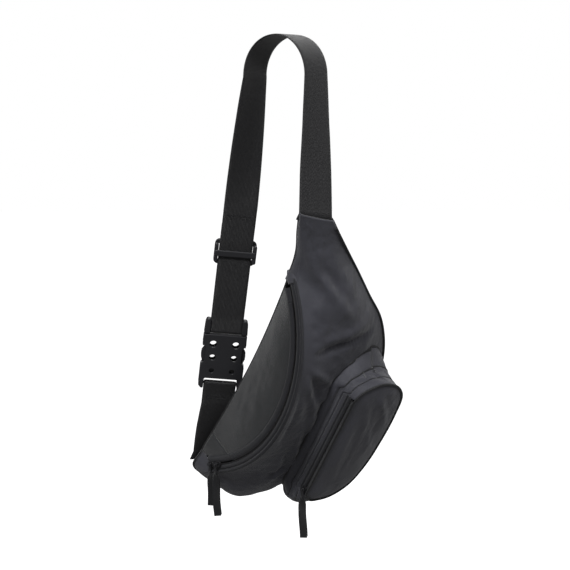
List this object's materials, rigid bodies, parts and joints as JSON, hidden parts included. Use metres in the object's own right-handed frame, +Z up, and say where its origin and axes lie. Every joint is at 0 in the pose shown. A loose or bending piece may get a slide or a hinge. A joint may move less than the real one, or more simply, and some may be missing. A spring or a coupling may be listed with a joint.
{
  "type": "sling bag",
  "caption": "Black nylon sling bag with webbing strap, side-release buckle, curved main zip and boxy zipped front pocket.",
  "frame": {"origin": "centre of the strap's half-round bend, where it hangs over a peg", "axes": "+Y along the peg (width of the webbing at the bend), +Z up as it hangs, +X towards the upper end and the front of the bag"},
  "size_m": [0.2569, 0.2151, 0.5809],
  "materials": {
    "nylon_shell": "satin",
    "nylon_lid": "satin",
    "back_mesh": "matte",
    "foam": "matte",
    "piping_black": "satin",
    "zip_tape": "matte",
    "zip_coil": "satin",
    "webbing": "satin",
    "thread": "matte",
    "buckle_plastic": "satin",
    "slider_metal": "satin",
    "pull_fabric": "matte"
  },
  "bodies": {
    "bag": {"back_panel": "back_mesh", "back_foam_pad": "foam", "back_binding": "piping_black", "front_panel": "nylon_shell", "bottom_gusset": "nylon_shell", "upper_wing": "nylon_shell", "lower_wing": "nylon_shell", "main_piping": "piping_black", "lid_hem": "nylon_lid", "main_zip_tape_front": "zip_tape", "main_zip_coil_front": "zip_coil", "front_zip_welt": "piping_black", "main_zip_ends": "zip_tape", "pocket_gusset": "nylon_shell", "pocket_zip_tape_gusset": "zip_tape", "pocket_zip_coil_gusset": "zip_coil", "strap_bend": "webbing", "strap_right_run": "webbing", "strap_left_run": "webbing", "strap_plug_loop": "webbing", "strap_socket_loop": "webbing", "strap_lower_tab": "webbing", "strap_bar_tacks": "thread", "buckle_plug": "buckle_plastic", "buckle_socket": "buckle_plastic"},
    "lid": {"lid_panel": "nylon_lid", "main_zip_tape_lid": "zip_tape", "main_zip_coil_lid": "zip_coil", "lid_zip_welt": "piping_black"},
    "pocket_front": {"pocket_front_panel": "nylon_shell", "pocket_piping": "piping_black", "pocket_zip_tape_face": "zip_tape", "pocket_zip_coil_face": "zip_coil"},
    "slider_a": {"main_slider_a": "slider_metal"},
    "pull_a": {"main_puller_a": "slider_metal", "main_pull_strip_a": "pull_fabric"},
    "slider_b": {"main_slider_b": "slider_metal"},
    "pull_b": {"main_puller_b": "slider_metal", "main_pull_strip_b": "pull_fabric"},
    "pocket_slider_body": {"pocket_slider": "slider_metal"},
    "pocket_pull": {"pocket_puller": "slider_metal", "pocket_pull_strip": "pull_fabric"},
    "tri_glide_body": {"tri_glide": "buckle_plastic"},
    "prong_left": {"buckle_prong_left": "buckle_plastic"},
    "prong_right": {"buckle_prong_right": "buckle_plastic"}
  },
  "joints": [
    {"name": "lid_fold", "type": "hinge", "parent": "bag", "child": "lid", "pos_m": [-0.07561, 0.02741, -0.32577], "axis": [-0.5859, 0.1245, -0.8007], "range_deg": [0, 95]},
    {"name": "main_zip_travel_b", "type": "hinge", "parent": "bag", "child": "slider_b", "pos_m": [-0.17377, 0.03551, -0.27391], "axis": [-0.1249, -0.9902, -0.0626], "range_deg": [0, 91]},
    {"name": "main_zip_travel_a", "type": "hinge", "parent": "bag", "child": "slider_a", "pos_m": [-0.17377, 0.03551, -0.27391], "axis": [-0.1249, -0.9902, -0.0626], "range_deg": [-0.7, 0.6]},
    {"name": "puller_a_swing", "type": "hinge", "parent": "slider_a", "child": "pull_a", "pos_m": [-0.14736, 0.04342, -0.45179], "axis": [-0.1249, -0.9902, -0.0626], "range_deg": [-30, 30]},
    {"name": "puller_b_swing", "type": "hinge", "parent": "slider_b", "child": "pull_b", "pos_m": [-0.13419, 0.04161, -0.4494], "axis": [-0.1249, -0.9902, -0.0626], "range_deg": [-30, 30]},
    {"name": "pocket_fold", "type": "hinge", "parent": "bag", "child": "pocket_front", "pos_m": [0.00862, 0.16575, -0.42209], "axis": [0.5859, -0.1245, 0.8007], "range_deg": [0, 70]},
    {"name": "pocket_zip_travel", "type": "slide", "parent": "bag", "child": "pocket_slider_body", "axis": [0.5776, -0.1618, 0.8001], "range_m": [0, 0.136]},
    {"name": "pocket_puller_swing", "type": "hinge", "parent": "pocket_slider_body", "child": "pocket_pull", "pos_m": [-0.05454, 0.10384, -0.47912], "axis": [-0.2301, -0.9727, -0.0306], "range_deg": [-30, 30]},
    {"name": "tri_glide_slide", "type": "slide", "parent": "bag", "child": "tri_glide_body", "axis": [0.2671, -0.1281, 0.9551], "range_m": [-0.02, 0.025]},
    {"name": "prong_left_squeeze", "type": "hinge", "parent": "bag", "child": "prong_left", "pos_m": [-0.13845, 0.02634, -0.29546], "axis": [0.6787, -0.6787, -0.2808], "range_deg": [0, 7], "stiffness_Nm_per_rad": 1.2},
    {"name": "prong_right_squeeze", "type": "hinge", "parent": "bag", "child": "prong_right", "pos_m": [-0.11108, 0.05527, -0.29923], "axis": [0.6787, -0.6787, -0.2808], "range_deg": [-7, 0], "stiffness_Nm_per_rad": 1.2}
  ],
  "couplings": [
    {"joint": "prong_right_squeeze", "follows": "prong_left_squeeze", "ratio": -1}
  ]
}
